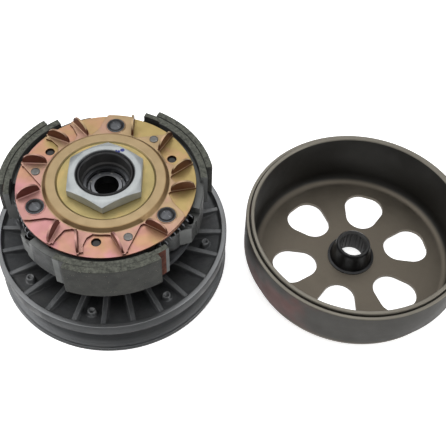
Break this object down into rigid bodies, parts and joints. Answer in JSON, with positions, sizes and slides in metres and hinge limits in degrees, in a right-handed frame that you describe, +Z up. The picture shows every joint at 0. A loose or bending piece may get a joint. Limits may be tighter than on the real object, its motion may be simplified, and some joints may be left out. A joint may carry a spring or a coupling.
{
  "type": "driven cvt pulley set",
  "caption": "Driven variable belt pulley with a torque spring, centrifugal clutch shoes and a finned front plate, with its clutch bell beside it.",
  "frame": {"origin": "the pulley's axis in the plane of the table that the fixed sheave stands on", "axes": "+Z up along the pulley's axis towards the clutch nut, +X towards the bell"},
  "size_m": [0.3049, 0.1513, 0.0854],
  "materials": {
    "cast_sheave": "as cast, machined belt face",
    "turned_steel": "turned",
    "zinc_steel": "bright zinc",
    "dark_steel": "blackened",
    "gold_zinc": "yellow chromated zinc",
    "shoe_iron": "rough cast",
    "friction_lining": "ground friction material",
    "rubber": "moulded",
    "bell_steel": "pressed and turned",
    "black_oxide": "black oxide"
  },
  "bodies": {
    "hub": {"fixed_sheave": "cast_sheave", "hub_tube": "turned_steel", "cam_guide_pins": "turned_steel", "ball_bearing_outer_ring": "turned_steel", "bearing_circlip": "dark_steel", "needle_bearing_cup": "turned_steel", "shaft_seal": "rubber", "upper_spring_seat": "dark_steel", "clutch_carrier": "dark_steel", "pivot_pins": "dark_steel", "damper_posts": "dark_steel", "rubber_dampers": "rubber", "front_plate": "gold_zinc", "fan_plate": "gold_zinc", "plate_rivets": "dark_steel", "clutch_nut": "zinc_steel"},
    "bearing_inner": {"ball_bearing_inner_ring": "turned_steel"},
    "ball_cage": {"bearing_balls": "zinc_steel", "bearing_cage": "dark_steel"},
    "needle_cage": {"needle_rollers": "zinc_steel"},
    "spring_seat": {"lower_spring_seat": "dark_steel", "main_spring": "dark_steel"},
    "movable_sheave": {"movable_sheave": "cast_sheave", "cam_sleeve": "turned_steel", "seal_collar": "dark_steel", "collar_o_rings": "rubber", "grease_seals": "rubber"},
    "shoe_1": {"clutch_shoe_1": "shoe_iron", "lining_1": "friction_lining", "return_spring_1": "zinc_steel"},
    "shoe_2": {"clutch_shoe_2": "shoe_iron", "lining_2": "friction_lining", "return_spring_2": "zinc_steel"},
    "shoe_3": {"clutch_shoe_3": "shoe_iron", "lining_3": "friction_lining", "return_spring_3": "zinc_steel"},
    "bell": {"bell_drum": "bell_steel", "bell_band": "bell_steel", "bell_hub": "black_oxide"}
  },
  "joints": [
    {"name": "sheave_open", "type": "slide", "parent": "hub", "child": "spring_seat", "axis": [0, 0, 1], "range_m": [0, 0.009], "stiffness_N_per_m": 6000, "springref_m": -0.02, "deforming": ["main_spring"]},
    {"name": "cam_turn", "type": "hinge", "parent": "spring_seat", "child": "movable_sheave", "pos_m": [0, 0, 0.02], "axis": [0, 0, 1], "range_deg": [0, 23.3]},
    {"name": "shoe_1_swing", "type": "hinge", "parent": "hub", "child": "shoe_1", "pos_m": [0.00102, 0.04479, 0.0625], "axis": [0, 0, -1], "range_deg": [0, 1.8], "stiffness_Nm_per_rad": 8, "springref_deg": -2.86},
    {"name": "shoe_2_swing", "type": "hinge", "parent": "hub", "child": "shoe_2", "pos_m": [-0.0393, -0.02151, 0.0625], "axis": [0, 0, -1], "range_deg": [0, 1.8], "stiffness_Nm_per_rad": 8, "springref_deg": -2.86},
    {"name": "shoe_3_swing", "type": "hinge", "parent": "hub", "child": "shoe_3", "pos_m": [0.03828, -0.02327, 0.0625], "axis": [0, 0, -1], "range_deg": [0, 1.8], "stiffness_Nm_per_rad": 8, "springref_deg": -2.86},
    {"name": "bearing_spin", "type": "hinge", "parent": "hub", "child": "bearing_inner", "pos_m": [0, 0, 0.0695], "axis": [0, 0, 1], "continuous": true},
    {"name": "ball_cage_spin", "type": "hinge", "parent": "hub", "child": "ball_cage", "pos_m": [0, 0, 0.0695], "axis": [0, 0, 1], "continuous": true},
    {"name": "needle_cage_spin", "type": "hinge", "parent": "hub", "child": "needle_cage", "pos_m": [0, 0, 0.011], "axis": [0, 0, 1], "continuous": true},
    {"name": "bell_spin", "type": "hinge", "parent": "hub", "child": "bell", "pos_m": [0.1584, 0.0048, 0.02], "axis": [0, 0, 1], "continuous": true}
  ],
  "couplings": [
    {"joint": "cam_turn", "follows": "sheave_open", "rad_per_m": 45},
    {"joint": "ball_cage_spin", "follows": "bearing_spin", "ratio": 0.3884}
  ]
}
